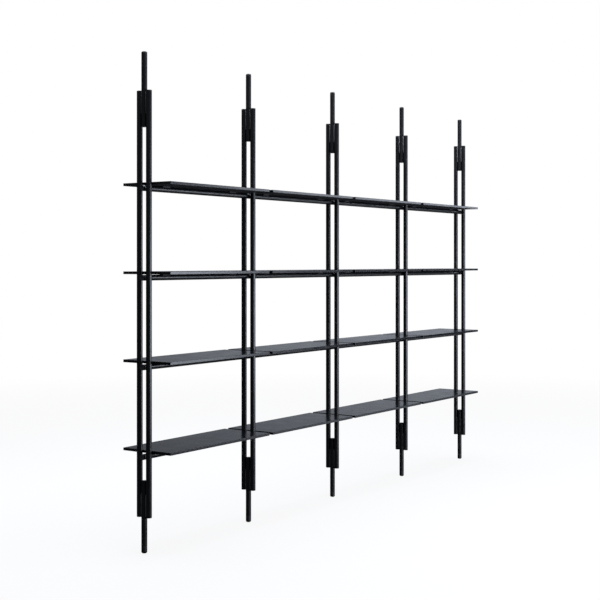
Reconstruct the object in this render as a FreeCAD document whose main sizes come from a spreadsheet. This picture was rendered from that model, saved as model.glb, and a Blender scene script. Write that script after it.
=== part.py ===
"""Floor-to-ceiling pole bookcase: paired round posts, telescopic rods, through rails and loose shelves.

Frame: X along the row of uprights, the front towards -Y, Z up from the floor. Millimetres.
"""
import FreeCAD
import Part
import Sketcher
import os

UPRIGHTS = 5
BAYS = UPRIGHTS - 1
LEVELS = 4
TOMMY_HOLES = 4
FULL_TURN = 360
LEVEL_TOLERANCE = 0.0001

ROOM_HEIGHT = 2700
UPRIGHT_PITCH = 930
TUBE_DIAMETER = 32
TUBE_WALL = 2
SADDLE_CROWN = 1
POST_BOTTOM = 193
CEILING_DROP = 210
ROD_DIAMETER = 32
ROD_WALL = 2.5
ROD_TAIL = 37
ROD_END_WALL = 4
ROD_TRAVEL_UP = 60
ROD_TRAVEL_DOWN = 20
CLAMP_INSET = 30
CLAMP_PITCH = 70
BOLT_DIAMETER = 8
BOLT_PLAY = 0.3
BOLT_HEAD_DIAMETER = 14
BOLT_HEAD_SINK = 2
INSERT_WALL = 2
INSERT_LENGTH = 10
INSERT_SINK = 1.4
GUIDE_WIDTH = 14
GUIDE_MARGIN = 24
RAIL_SADDLE_DIAMETER = 20
RAIL_DROP = 2
RAIL_OVERHANG = 5
SHELF_DEPTH = 340
SHELF_THICKNESS = 15
SHELF_END_GAP = 1.3
SHELF_EDGE_RADIUS = 1
LOWEST_SHELF_TOP = 551
LEVEL_PITCH = 482
SHELF_SADDLE_LENGTH = 60
SHELF_SADDLE_WIDTH = 24
SHELF_SADDLE_INSET = 150
PLUG_HEAD = 3
PLUG_EDGE_RADIUS = 1
PLUG_DEPTH = 10
PAD_HEIGHT = 10
PAD_EDGE_RADIUS = 8
PAD_SPIGOT = 20
COLLAR_HEIGHT = 12
COLLAR_SPIGOT = 12
TOMMY_HOLE_DIAMETER = 4
FOOT_HEIGHT = 28
FOOT_EDGE_RADIUS = 9
STUD_DIAMETER = 16
STUD_LENGTH = 85
RUNNING_GAP = 0.3
SNUG_GAP = 0.1

DRIVING = {
    "room_height": ROOM_HEIGHT,
    "upright_pitch": UPRIGHT_PITCH,
    "tube_diameter": TUBE_DIAMETER,
    "tube_wall": TUBE_WALL,
    "saddle_crown": SADDLE_CROWN,
    "post_bottom": POST_BOTTOM,
    "ceiling_drop": CEILING_DROP,
    "rod_diameter": ROD_DIAMETER,
    "rod_wall": ROD_WALL,
    "rod_tail": ROD_TAIL,
    "rod_end_wall": ROD_END_WALL,
    "rod_travel_up": ROD_TRAVEL_UP,
    "rod_travel_down": ROD_TRAVEL_DOWN,
    "clamp_inset": CLAMP_INSET,
    "clamp_pitch": CLAMP_PITCH,
    "bolt_diameter": BOLT_DIAMETER,
    "bolt_play": BOLT_PLAY,
    "bolt_head_diameter": BOLT_HEAD_DIAMETER,
    "bolt_head_sink": BOLT_HEAD_SINK,
    "insert_wall": INSERT_WALL,
    "insert_length": INSERT_LENGTH,
    "insert_sink": INSERT_SINK,
    "guide_width": GUIDE_WIDTH,
    "guide_margin": GUIDE_MARGIN,
    "rail_saddle_diameter": RAIL_SADDLE_DIAMETER,
    "rail_drop": RAIL_DROP,
    "rail_overhang": RAIL_OVERHANG,
    "shelf_depth": SHELF_DEPTH,
    "shelf_thickness": SHELF_THICKNESS,
    "shelf_end_gap": SHELF_END_GAP,
    "shelf_edge_radius": SHELF_EDGE_RADIUS,
    "lowest_shelf_top": LOWEST_SHELF_TOP,
    "level_pitch": LEVEL_PITCH,
    "shelf_saddle_length": SHELF_SADDLE_LENGTH,
    "shelf_saddle_width": SHELF_SADDLE_WIDTH,
    "shelf_saddle_inset": SHELF_SADDLE_INSET,
    "plug_head": PLUG_HEAD,
    "plug_edge_radius": PLUG_EDGE_RADIUS,
    "plug_depth": PLUG_DEPTH,
    "pad_height": PAD_HEIGHT,
    "pad_edge_radius": PAD_EDGE_RADIUS,
    "pad_spigot": PAD_SPIGOT,
    "collar_height": COLLAR_HEIGHT,
    "collar_spigot": COLLAR_SPIGOT,
    "tommy_hole_diameter": TOMMY_HOLE_DIAMETER,
    "foot_height": FOOT_HEIGHT,
    "foot_edge_radius": FOOT_EDGE_RADIUS,
    "stud_diameter": STUD_DIAMETER,
    "stud_length": STUD_LENGTH,
    "running_gap": RUNNING_GAP,
    "snug_gap": SNUG_GAP,
}

doc = FreeCAD.newDocument("pole_bookcase")
sheet = doc.addObject("Spreadsheet::Sheet", "sizes")
for row, (name, value) in enumerate(DRIVING.items(), 1):
    sheet.set("A{}".format(row), name)
    sheet.set("B{}".format(row), str(value))
    sheet.setAlias("B{}".format(row), name)
doc.recompute()

TUBE_RADIUS = "sizes.tube_diameter / 2"
TUBE_BORE = "sizes.tube_diameter / 2 - sizes.tube_wall"
ROD_RADIUS = "sizes.rod_diameter / 2"
ROD_BORE = "sizes.rod_diameter / 2 - sizes.rod_wall"
BOLT_HOLE = "sizes.bolt_diameter / 2 + sizes.bolt_play"
HEAD_RADIUS = "sizes.bolt_head_diameter / 2"
HEAD_HOLE = HEAD_RADIUS + " + sizes.bolt_play"
INSERT_RADIUS = "(sizes.bolt_diameter / 2 + sizes.insert_wall)"
INSERT_HOLE = INSERT_RADIUS + " + sizes.snug_gap"
HALF_SPACING = "(" + TUBE_RADIUS + " + max(sizes.tube_diameter; sizes.rod_diameter) / 2 + sizes.saddle_crown)"
GUIDE_LENGTH = "(sizes.clamp_pitch + 2 * sizes.guide_margin)"
ROD_OVERLAP = "(sizes.clamp_inset + sizes.clamp_pitch + sizes.rod_travel_up + sizes.rod_tail)"
POST_TOP = "sizes.room_height - sizes.ceiling_drop"
POST_BASE = "sizes.post_bottom + sizes.plug_head"
TOP_ROD_BASE = POST_TOP + " - " + ROD_OVERLAP
BOTTOM_ROD_BASE = "sizes.foot_height + sizes.collar_height"
RAIL_LENGTH = "{} * sizes.upright_pitch + sizes.tube_diameter + 2 * sizes.rail_overhang".format(BAYS)
RAIL_TUBE = RAIL_LENGTH + " - 2 * sizes.plug_head"
SHELF_LENGTH = "sizes.upright_pitch - sizes.tube_diameter - 2 * sizes.shelf_end_gap"


def upright_x(number):
    """Position along the row of upright number 1 to UPRIGHTS."""
    return "{} * sizes.upright_pitch".format(number - 1 - BAYS / 2)


def bay_x(number):
    """Position along the row of the middle of bay number 1 to BAYS."""
    return "{} * sizes.upright_pitch".format(number - (BAYS + 1) / 2)


def shelf_top(level):
    """Height of the upper face of shelf level 1 to LEVELS."""
    return "sizes.lowest_shelf_top + {} * sizes.level_pitch".format(level - 1)


def rail_axis(level):
    """Height of the rail's axis under shelf level 1 to LEVELS."""
    return shelf_top(level) + " - sizes.shelf_thickness - sizes.rail_drop - " + TUBE_RADIUS


def lower_clamps():
    """Heights of the bolts that hold a lower rod."""
    first = "sizes.post_bottom + sizes.clamp_inset"
    return [first, first + " + sizes.clamp_pitch"]


def upper_clamps():
    """Heights of the bolts that clamp an upper rod, the lower one first."""
    last = POST_TOP + " - sizes.clamp_inset"
    return [last + " - sizes.clamp_pitch", last]


def bolt_heights():
    """Heights of every bolt of one upright."""
    return lower_clamps() + [rail_axis(level) for level in range(1, LEVELS + 1)] + upper_clamps()


def place(item, x, y, z):
    """Bind an object's position to the sheet."""
    item.setExpression("Placement.Base.x", x)
    item.setExpression("Placement.Base.y", y)
    item.setExpression("Placement.Base.z", z)


def new_body(label, x, y, z):
    """Start a body at a bound position."""
    body = doc.addObject("PartDesign::Body", label)
    body.Label = label
    place(body, x, y, z)
    return body


def sketch_on(body, role, name, lift=None):
    """Add a sketch on one of the body's own origin planes, raised by a bound amount where asked."""
    sketch = body.newObject("Sketcher::SketchObject", name)
    plane = [feature for feature in body.Origin.OriginFeatures if feature.Role == role][0]
    sketch.AttachmentSupport = [(plane, "")]
    sketch.MapMode = "FlatFace"
    if lift is not None:
        sketch.setExpression("AttachmentOffset.Base.z", lift)
    return sketch


def dimension(sketch, constraint, expression):
    """Add a dimension to a sketch and bind it to the sheet."""
    index = sketch.addConstraint(constraint)
    sketch.setExpression("Constraints[{}]".format(index), expression)


def circle(sketch, radius, across=None, up=None):
    """Add a circle; a centre coordinate that isn't given lies on its axis."""
    start = FreeCAD.Vector(1 if across else 0, 1 if up else 0, 0)
    index = sketch.addGeometry(Part.Circle(start, FreeCAD.Vector(0, 0, 1), 1), False)
    if across is None:
        sketch.addConstraint(Sketcher.Constraint("PointOnObject", index, 3, -2))
    else:
        dimension(sketch, Sketcher.Constraint("DistanceX", -1, 1, index, 3, 1.0), across)
    if up is None:
        sketch.addConstraint(Sketcher.Constraint("PointOnObject", index, 3, -1))
    else:
        dimension(sketch, Sketcher.Constraint("DistanceY", -1, 1, index, 3, 1.0), up)
    dimension(sketch, Sketcher.Constraint("Radius", index, 1.0), radius)


def rectangle(sketch, width, height, bottom=None):
    """Add a rectangle centred on the upright axis, and on the origin where no bottom is given."""
    corners = [FreeCAD.Vector(-1, 1, 0), FreeCAD.Vector(1, 1, 0)]
    corners += [FreeCAD.Vector(1, 2, 0), FreeCAD.Vector(-1, 2, 0)]
    sides = []
    for number, corner in enumerate(corners):
        line = Part.LineSegment(corner, corners[(number + 1) % len(corners)])
        sides.append(sketch.addGeometry(line, False))
    for number, side in enumerate(sides):
        sketch.addConstraint(Sketcher.Constraint("Coincident", side, 2, sides[(number + 1) % len(sides)], 1))
        if number % 2:
            sketch.addConstraint(Sketcher.Constraint("Vertical", side))
        elif number or bottom is None:
            sketch.addConstraint(Sketcher.Constraint("Horizontal", side))
    if bottom is None:
        sketch.addConstraint(Sketcher.Constraint("Symmetric", sides[0], 1, sides[1], 2, -1, 1))
    else:
        sketch.addConstraint(Sketcher.Constraint("Symmetric", sides[0], 1, sides[0], 2, -2))
        dimension(sketch, Sketcher.Constraint("DistanceY", -1, 1, sides[0], 1, 1.0), bottom)
    dimension(sketch, Sketcher.Constraint("DistanceX", sides[0], 1, sides[0], 2, 1.0), width)
    dimension(sketch, Sketcher.Constraint("DistanceY", sides[1], 1, sides[1], 2, 1.0), height)


def pad(body, sketch, length, down=False):
    """Raise a sketch by a bound length."""
    feature = body.newObject("PartDesign::Pad", sketch.Name + "_pad")
    feature.Profile = sketch
    feature.setExpression("Length", length)
    feature.Reversed = down
    sketch.Visibility = False
    doc.recompute()
    return feature


def pocket(body, sketch, length=None, forward=False, both=False):
    """Cut a sketch into the body, right through where no length is given."""
    feature = body.newObject("PartDesign::Pocket", sketch.Name + "_pocket")
    feature.Profile = sketch
    if length is None:
        feature.Type = "ThroughAll"
    else:
        feature.setExpression("Length", length)
    feature.Reversed = forward
    if both:
        feature.SideType = "Symmetric"
    sketch.Visibility = False
    doc.recompute()
    return feature


def round_rim(body, feature, radius, top):
    """Round the circular edge at the top or the bottom of a feature."""
    box = feature.Shape.BoundBox
    level = box.ZMax if top else box.ZMin
    names = []
    for number, edge in enumerate(feature.Shape.Edges, 1):
        reach = max(abs(edge.BoundBox.ZMin - level), abs(edge.BoundBox.ZMax - level))
        if reach < LEVEL_TOLERANCE:
            names.append("Edge{}".format(number))
    fillet = body.newObject("PartDesign::Fillet", feature.Name + "_rim")
    fillet.Base = (feature, names)
    fillet.setExpression("Radius", radius)
    doc.recompute()
    return fillet


def make_post(label, number, front):
    """One post: a tube drilled inside at each rail and clamp, rear posts also outside for the sunk heads."""
    side = "-" + HALF_SPACING if front else HALF_SPACING
    body = new_body(label, upright_x(number), side, POST_BASE)
    section = sketch_on(body, "XY_Plane", "section")
    circle(section, TUBE_RADIUS)
    circle(section, TUBE_BORE)
    pad(body, section, POST_TOP + " - sizes.plug_head - (" + POST_BASE + ")")
    holes = sketch_on(body, "XZ_Plane", "bolt_holes")
    for height in bolt_heights():
        circle(holes, INSERT_HOLE if front else BOLT_HOLE, up=height + " - (" + POST_BASE + ")")
    pocket(body, holes, forward=not front)
    if not front:
        head_holes = sketch_on(body, "XZ_Plane", "head_holes")
        for height in bolt_heights():
            circle(head_holes, HEAD_HOLE, up=height + " - (" + POST_BASE + ")")
        pocket(body, head_holes)
    return body


def make_top_rod(label, number):
    """An upper rod: a tube closed at its inner end, slotted so that it slides past its clamp bolts."""
    body = new_body(label, upright_x(number), "0", TOP_ROD_BASE)
    section = sketch_on(body, "XY_Plane", "section")
    circle(section, ROD_RADIUS)
    pad(body, section, "sizes.ceiling_drop - sizes.pad_height + " + ROD_OVERLAP)
    bore = sketch_on(body, "XY_Plane", "bore", "sizes.rod_end_wall")
    circle(bore, ROD_BORE)
    pocket(body, bore, forward=True)
    low = "({}) - sizes.rod_travel_up - ({})".format(upper_clamps()[0], TOP_ROD_BASE)
    span = "sizes.clamp_pitch + sizes.rod_travel_up + sizes.rod_travel_down"
    slot = sketch_on(body, "XZ_Plane", "slot")
    rectangle(slot, "2 * (" + BOLT_HOLE + ")", span, low)
    pocket(body, slot, both=True)
    ends = sketch_on(body, "XZ_Plane", "slot_ends")
    circle(ends, BOLT_HOLE, up=low)
    circle(ends, BOLT_HOLE, up=low + " + " + span)
    pocket(body, ends, both=True)
    return body


def make_bottom_rod(label, number):
    """A lower rod: a tube closed at its inner end, with two bolt holes and room for the foot's stud."""
    length = "sizes.post_bottom + " + ROD_OVERLAP + " - (" + BOTTOM_ROD_BASE + ")"
    body = new_body(label, upright_x(number), "0", BOTTOM_ROD_BASE)
    section = sketch_on(body, "XY_Plane", "section")
    circle(section, ROD_RADIUS)
    pad(body, section, length)
    bore = sketch_on(body, "XY_Plane", "bore")
    circle(bore, ROD_BORE)
    pocket(body, bore, length + " - sizes.rod_end_wall", forward=True)
    holes = sketch_on(body, "XZ_Plane", "bolt_holes")
    for height in lower_clamps():
        circle(holes, BOLT_HOLE, up=height + " - (" + BOTTOM_ROD_BASE + ")")
    pocket(body, holes, both=True)
    return body


def make_ceiling_pad(label, number):
    """The soft pad in the upper end of a rod, with a spigot in the rod's bore."""
    body = new_body(label, upright_x(number), "0", "sizes.room_height - sizes.pad_height")
    disc = sketch_on(body, "XY_Plane", "disc")
    circle(disc, ROD_RADIUS)
    head = pad(body, disc, "sizes.pad_height")
    round_rim(body, head, "sizes.pad_edge_radius", True)
    spigot = sketch_on(body, "XY_Plane", "spigot")
    circle(spigot, ROD_BORE + " - sizes.snug_gap")
    pad(body, spigot, "sizes.pad_spigot", down=True)
    return body


def make_collar(label, number):
    """The turning nut under a lower rod: it runs in the rod's bore and on the foot's stud."""
    body = new_body(label, upright_x(number), "0", "sizes.foot_height")
    ring = sketch_on(body, "XY_Plane", "ring")
    circle(ring, ROD_RADIUS)
    pad(body, ring, "sizes.collar_height")
    spigot = sketch_on(body, "XY_Plane", "spigot")
    circle(spigot, ROD_BORE + " - sizes.running_gap")
    pad(body, spigot, "sizes.collar_height + sizes.collar_spigot")
    bore = sketch_on(body, "XY_Plane", "bore")
    circle(bore, "sizes.stud_diameter / 2 + sizes.running_gap")
    pocket(body, bore, forward=True)
    hole = sketch_on(body, "XZ_Plane", "tommy_hole")
    circle(hole, "sizes.tommy_hole_diameter / 2", up="sizes.collar_height / 2")
    first = pocket(body, hole)
    pattern = body.newObject("PartDesign::PolarPattern", "tommy_holes")
    pattern.Originals = [first]
    axis = [feature for feature in body.Origin.OriginFeatures if feature.Role == "Z_Axis"][0]
    pattern.Axis = (axis, [""])
    pattern.Angle = FULL_TURN
    pattern.Occurrences = TOMMY_HOLES
    body.Tip = pattern
    doc.recompute()
    return body


def make_foot(label, number):
    """A levelling foot: a rounded pad on a stud that reaches up into the lower rod."""
    body = new_body(label, upright_x(number), "0", "0")
    disc = sketch_on(body, "XY_Plane", "disc")
    circle(disc, ROD_RADIUS)
    base = pad(body, disc, "sizes.foot_height")
    round_rim(body, base, "sizes.foot_edge_radius", False)
    stud = sketch_on(body, "XY_Plane", "stud", "sizes.foot_height / 2")
    circle(stud, "sizes.stud_diameter / 2")
    pad(body, stud, "sizes.stud_length + sizes.foot_height / 2")
    return body


def make_shelf(label, level, bay):
    """One shelf board with eased edges, loose between two uprights."""
    body = new_body(label, bay_x(bay), "0", shelf_top(level) + " - sizes.shelf_thickness")
    outline = sketch_on(body, "XY_Plane", "outline")
    rectangle(outline, SHELF_LENGTH, "sizes.shelf_depth")
    board = pad(body, outline, "sizes.shelf_thickness")
    eased = body.newObject("PartDesign::Fillet", "eased_edges")
    eased.Base = (board, ["Edge1"])
    eased.UseAllEdges = True
    eased.setExpression("Radius", "sizes.shelf_edge_radius")
    doc.recompute()
    return body


def make_rail(label, level):
    """One rail: a tube as long as the row, drilled where it passes between the posts."""
    body = new_body(label, "-(" + RAIL_TUBE + ") / 2", "0", rail_axis(level))
    section = sketch_on(body, "YZ_Plane", "section")
    circle(section, TUBE_RADIUS)
    circle(section, TUBE_BORE)
    pad(body, section, RAIL_TUBE)
    holes = sketch_on(body, "XZ_Plane", "bolt_holes")
    for number in range(1, UPRIGHTS + 1):
        circle(holes, BOLT_HOLE, across="(" + RAIL_TUBE + ") / 2 + " + upright_x(number))
    pocket(body, holes, both=True)
    return body


def make_plug():
    """The push-in plug that closes a post or a rail; its head lies below the tube's end plane."""
    body = new_body("plug_pattern", "0", "0", "0")
    disc = sketch_on(body, "XY_Plane", "disc")
    circle(disc, TUBE_RADIUS)
    head = pad(body, disc, "sizes.plug_head", down=True)
    round_rim(body, head, "sizes.plug_edge_radius", False)
    spigot = sketch_on(body, "XY_Plane", "spigot")
    circle(spigot, TUBE_BORE + " - sizes.snug_gap")
    pad(body, spigot, "sizes.plug_depth")
    return body


def cylinder(label, radius, length):
    """A bound cylinder along Z."""
    item = doc.addObject("Part::Cylinder", label)
    item.setExpression("Radius", radius)
    item.setExpression("Height", length)
    return item


def across_y(item, start):
    """Turn a cylinder to run towards +Y from a bound start."""
    item.Placement.Rotation = FreeCAD.Rotation(FreeCAD.Vector(1, 0, 0), -90)
    item.setExpression("Placement.Base.y", start)
    return item


def block(label, length, depth, height):
    """A bound box."""
    item = doc.addObject("Part::Box", label)
    item.setExpression("Length", length)
    item.setExpression("Width", depth)
    item.setExpression("Height", height)
    return item


def cut(label, base, tools):
    """Take the tools away from the base one after another."""
    for number, tool in enumerate(tools, 1):
        rest = doc.addObject("Part::Cut", "{}_cut_{}".format(label, number))
        rest.Base = base
        rest.Tool = tool
        base = rest
    doc.recompute()
    return base


def fuse(label, pieces):
    """Join overlapping or touching pieces into one solid."""
    base = pieces[0]
    for number, piece in enumerate(pieces[1:], 1):
        joined = doc.addObject("Part::Fuse", "{}_fuse_{}".format(label, number))
        joined.Base = base
        joined.Tool = piece
        base = joined
    doc.recompute()
    return base


def rear_post_tool(label):
    """The space that the rear post of an upright takes, with a snug gap round it."""
    tool = cylinder(label, TUBE_RADIUS + " + sizes.snug_gap", "2 * " + GUIDE_LENGTH)
    place(tool, "0", HALF_SPACING, "-" + GUIDE_LENGTH)
    return tool


def bolt_tool(label, height):
    """The space that a bolt takes across an upright, with its play."""
    tool = across_y(cylinder(label, BOLT_HOLE, "2 * " + HALF_SPACING), "0")
    tool.setExpression("Placement.Base.z", height)
    return tool


def make_bolt():
    """A cross bolt with a long barrel head, sunk in the rear post and rounded to lie on its inner wall."""
    reach = HALF_SPACING + " - " + TUBE_RADIUS + " + sizes.insert_sink + sizes.insert_length"
    shank = cylinder("shank", "sizes.bolt_diameter / 2", reach + " + " + HALF_SPACING)
    across_y(shank, "-(" + reach + ")")
    outer_half = cylinder("head_outer_half", HEAD_RADIUS, TUBE_RADIUS + " - sizes.bolt_head_sink")
    across_y(outer_half, HALF_SPACING)
    inner_half = cylinder("head_inner_half", HEAD_RADIUS, TUBE_RADIUS)
    across_y(inner_half, HALF_SPACING + " - " + TUBE_RADIUS)
    bore = cylinder("post_bore", TUBE_BORE + " - sizes.snug_gap", "2 * sizes.bolt_head_diameter")
    place(bore, "0", HALF_SPACING, "-sizes.bolt_head_diameter")
    seated_half = doc.addObject("Part::Common", "head_seated_half")
    seated_half.Base = inner_half
    seated_half.Tool = bore
    return fuse("bolt", [shank, seated_half, outer_half])


def make_insert():
    """A threaded insert in the inner wall of a front post."""
    start = "-(" + HALF_SPACING + " - " + TUBE_RADIUS + " + sizes.insert_sink + sizes.insert_length)"
    outer = across_y(cylinder("insert_outer", INSERT_RADIUS, "sizes.insert_length"), start)
    bore = cylinder("insert_bore", "sizes.bolt_diameter / 2 + sizes.snug_gap", "sizes.insert_length")
    return cut("insert", outer, [across_y(bore, start)])


def make_rod_guide():
    """A strip between a rod and the rear post, hollowed on both sides and drilled for two bolts."""
    strip = block("strip", "sizes.guide_width", HALF_SPACING, GUIDE_LENGTH)
    place(strip, "-sizes.guide_width / 2", "0", "-" + GUIDE_LENGTH + " / 2")
    rod = cylinder("rod_space", ROD_RADIUS + " + sizes.running_gap", "2 * " + GUIDE_LENGTH)
    place(rod, "0", "0", "-" + GUIDE_LENGTH)
    tools = [rod, rear_post_tool("guide_seat")]
    tools.append(bolt_tool("low_bolt", "-sizes.clamp_pitch / 2"))
    tools.append(bolt_tool("high_bolt", "sizes.clamp_pitch / 2"))
    return cut("rod_guide", strip, tools)


def make_rail_saddle():
    """A spacer between a rail and the rear post, hollowed along X on one side and along Z on the other."""
    disc = across_y(cylinder("saddle_disc", "sizes.rail_saddle_diameter / 2", HALF_SPACING), "0")
    rail = cylinder("rail_space", TUBE_RADIUS + " + sizes.snug_gap", "2 * sizes.rail_saddle_diameter")
    rail.Placement.Rotation = FreeCAD.Rotation(FreeCAD.Vector(0, 1, 0), 90)
    rail.setExpression("Placement.Base.x", "-sizes.rail_saddle_diameter")
    return cut("rail_saddle", disc, [rail, rear_post_tool("saddle_seat"), bolt_tool("saddle_bolt", "0")])


def make_shelf_saddle():
    """A cradle on a rail, flat on top under the shelf."""
    height = "sizes.rail_drop + " + TUBE_RADIUS
    cradle = block("cradle", "sizes.shelf_saddle_length", "sizes.shelf_saddle_width", height)
    place(cradle, "-sizes.shelf_saddle_length / 2", "-sizes.shelf_saddle_width / 2", "0")
    rail = cylinder("cradle_seat", TUBE_RADIUS + " + sizes.snug_gap", "2 * sizes.shelf_saddle_length")
    rail.Placement.Rotation = FreeCAD.Rotation(FreeCAD.Vector(0, 1, 0), 90)
    rail.setExpression("Placement.Base.x", "-sizes.shelf_saddle_length")
    return cut("shelf_saddle", cradle, [rail])


def read(name):
    """The value of one driving dimension."""
    return float(sheet.get(name))


def copy_at(pattern, x, y, z, axis=FreeCAD.Vector(0, 0, 1), angle=0):
    """A copy of a pattern piece, turned about its origin and moved."""
    shape = pattern.Shape.copy()
    turned = FreeCAD.Placement(FreeCAD.Vector(x, y, z), FreeCAD.Rotation(axis, angle))
    shape.Placement = turned.multiply(shape.Placement)
    return shape


def make_group(label, shapes):
    """One node that holds several separate, identical solids."""
    group = doc.addObject("Part::Feature", label)
    group.Label = label
    group.Shape = Part.makeCompound(shapes)
    return group


nodes = []
for upright in range(1, UPRIGHTS + 1):
    nodes.append(make_post("front_post_{}".format(upright), upright, True))
    nodes.append(make_post("rear_post_{}".format(upright), upright, False))
    nodes.append(make_top_rod("top_rod_{}".format(upright), upright))
    nodes.append(make_ceiling_pad("ceiling_pad_{}".format(upright), upright))
    nodes.append(make_bottom_rod("bottom_rod_{}".format(upright), upright))
    nodes.append(make_collar("levelling_collar_{}".format(upright), upright))
    nodes.append(make_foot("levelling_foot_{}".format(upright), upright))
for level in range(1, LEVELS + 1):
    nodes.append(make_rail("rail_{}".format(level), level))
    for bay in range(1, BAYS + 1):
        nodes.append(make_shelf("shelf_{}_{}".format(level, bay), level, bay))

columns = [(number - BAYS / 2) * read("upright_pitch") for number in range(UPRIGHTS)]
post_top = read("room_height") - read("ceiling_drop")
tube_radius = read("tube_diameter") / 2
rod_radius = read("rod_diameter") / 2
half_spacing = tube_radius + max(tube_radius, rod_radius) + read("saddle_crown")
low_bolt = read("post_bottom") + read("clamp_inset")
high_bolt = post_top - read("clamp_inset")
clamp_middles = [low_bolt + read("clamp_pitch") / 2, high_bolt - read("clamp_pitch") / 2]
shelf_tops = [read("lowest_shelf_top") + number * read("level_pitch") for number in range(LEVELS)]
rail_heights = [top - read("shelf_thickness") - read("rail_drop") - tube_radius for top in shelf_tops]
clamp_rows = [low_bolt, low_bolt + read("clamp_pitch"), high_bolt - read("clamp_pitch"), high_bolt]
bolt_rows = clamp_rows + rail_heights

bolt = make_bolt()
insert = make_insert()
nodes.append(make_group("cross_bolts", [copy_at(bolt, x, 0, z) for x in columns for z in bolt_rows]))
nodes.append(make_group("thread_inserts", [copy_at(insert, x, 0, z) for x in columns for z in bolt_rows]))

rod_guide = make_rod_guide()
rail_saddle = make_rail_saddle()
spacers = []
for x in columns:
    for half_turn in (0, 180):
        spacers += [copy_at(rod_guide, x, 0, z, angle=half_turn) for z in clamp_middles]
        spacers += [copy_at(rail_saddle, x, 0, z, angle=half_turn) for z in rail_heights]
nodes.append(make_group("saddle_spacers", spacers))

shelf_saddle = make_shelf_saddle()
half_shelf = (read("upright_pitch") - read("tube_diameter")) / 2 - read("shelf_end_gap")
shelf_reach = half_shelf - read("shelf_saddle_inset")
cradles = []
for left in columns[:-1]:
    middle = left + read("upright_pitch") / 2
    for place_x in (middle - shelf_reach, middle + shelf_reach):
        cradles += [copy_at(shelf_saddle, place_x, 0, z) for z in rail_heights]
nodes.append(make_group("shelf_saddles", cradles))

plug = make_plug()
post_low_end = read("post_bottom") + read("plug_head")
post_high_end = post_top - read("plug_head")
rail_end = BAYS * read("upright_pitch") / 2 + tube_radius + read("rail_overhang") - read("plug_head")
flip = FreeCAD.Vector(1, 0, 0)
sideways = FreeCAD.Vector(0, 1, 0)
plugs = []
for x in columns:
    for y in (-half_spacing, half_spacing):
        plugs.append(copy_at(plug, x, y, post_low_end))
        plugs.append(copy_at(plug, x, y, post_high_end, flip, 180))
for z in rail_heights:
    plugs.append(copy_at(plug, -rail_end, 0, z, sideways, 90))
    plugs.append(copy_at(plug, rail_end, 0, z, sideways, -90))
nodes.append(make_group("tube_plugs", plugs))

doc.recompute()
for item in doc.Objects:
    if "Invalid" in item.State or "Error" in item.State:
        raise RuntimeError("feature failed: " + item.Label)
os.makedirs("parts", exist_ok=True)
for node in nodes:
    if node.Shape.isNull() or not node.Shape.isValid():
        raise RuntimeError("bad shape: " + node.Label)
    node.Shape.exportStep(os.path.join("parts", node.Label + ".step"))
    print(node.Label, len(node.Shape.Solids), round(node.Shape.Volume / 1000, 2))
print("nodes", len(nodes))
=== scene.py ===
"""Floor-to-ceiling pole bookcase: finished surfaces over its CAD frame, on a plain stage.

Everything is in metres in the CAD frame: X along the row, the front towards -Y, Z up.
"""

import math

import bpy
import numpy as np
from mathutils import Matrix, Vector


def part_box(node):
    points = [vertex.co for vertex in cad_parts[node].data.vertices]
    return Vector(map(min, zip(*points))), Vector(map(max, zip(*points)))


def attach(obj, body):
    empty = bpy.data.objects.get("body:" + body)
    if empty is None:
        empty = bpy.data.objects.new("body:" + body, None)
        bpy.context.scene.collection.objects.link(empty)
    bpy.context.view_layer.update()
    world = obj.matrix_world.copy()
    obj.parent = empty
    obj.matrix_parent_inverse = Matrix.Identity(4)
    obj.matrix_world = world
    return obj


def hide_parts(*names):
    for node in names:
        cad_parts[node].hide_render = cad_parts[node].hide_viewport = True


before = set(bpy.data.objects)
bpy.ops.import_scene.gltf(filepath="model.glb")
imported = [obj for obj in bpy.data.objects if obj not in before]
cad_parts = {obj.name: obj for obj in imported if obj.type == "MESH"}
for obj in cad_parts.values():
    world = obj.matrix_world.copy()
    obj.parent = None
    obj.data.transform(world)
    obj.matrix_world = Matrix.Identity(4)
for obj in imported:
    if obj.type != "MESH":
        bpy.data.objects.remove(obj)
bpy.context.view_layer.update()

bl_info = {
    "name": "Pole bookcase",
    "version": (1, 0, 0),
    "blender": (4, 5, 0),
    "location": "View3D > Sidebar > Bookcase",
    "description": "Builds the finished pieces of a floor-to-ceiling pole bookcase and a plain stage",
    "category": "Add Mesh",
}

MM = 0.001
UPRIGHTS = range(1, 6)
LEVELS = range(1, 5)
BAYS = range(1, 5)
SIDES = ("front", "rear")

# Points round a tube, round a small circle and along a quarter round, and the flat lead beside that round.
ROUND_STEPS = 72
SMALL_STEPS = 40
EDGE_STEPS = 5
LEAD = 0.3 * MM
SHARP_ANGLE = math.radians(38)

# Turns that carry Z to X, carry Z to Y, put a part upside down and face it the other way.
TO_X = np.array([[0, 0, 1], [1, 0, 0], [0, 1, 0]], float)
TO_Y = np.array([[0, 1, 0], [0, 0, 1], [1, 0, 0]], float)
FLIP_Z = np.array([[1, 0, 0], [0, -1, 0], [0, 0, -1]], float)
HALF_TURN = np.array([[-1, 0, 0], [0, -1, 0], [0, 0, 1]], float)

# What all surfaces share: the noise of soft patches and of fine grain, the span in which most of a noise
# lies, the two tones as shares of the colour, and the normal's Z between an underside and an upright face.
PATCH_NOISE = {"Detail": 3.0, "Roughness": 0.55}
GRAIN_NOISE = {"Detail": 2.0, "Roughness": 0.6}
NOISE_SPAN = (0.3, 0.7)
TONE_SHARES = (0.82, 1.18)
UNDERSIDE = (-0.7, -0.3)

# Places of the two colours and of the mixed colour among a Mix node's sockets.
MIX_DARKER, MIX_LIGHTER, MIX_RESULT = 6, 7, 2
WHITE = (1.0, 1.0, 1.0, 1.0)

# The camera's frame in millimetres, and how far it sees in metres.
FRAME_WIDTH = 36.0
SIGHT = 200.0


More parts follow.
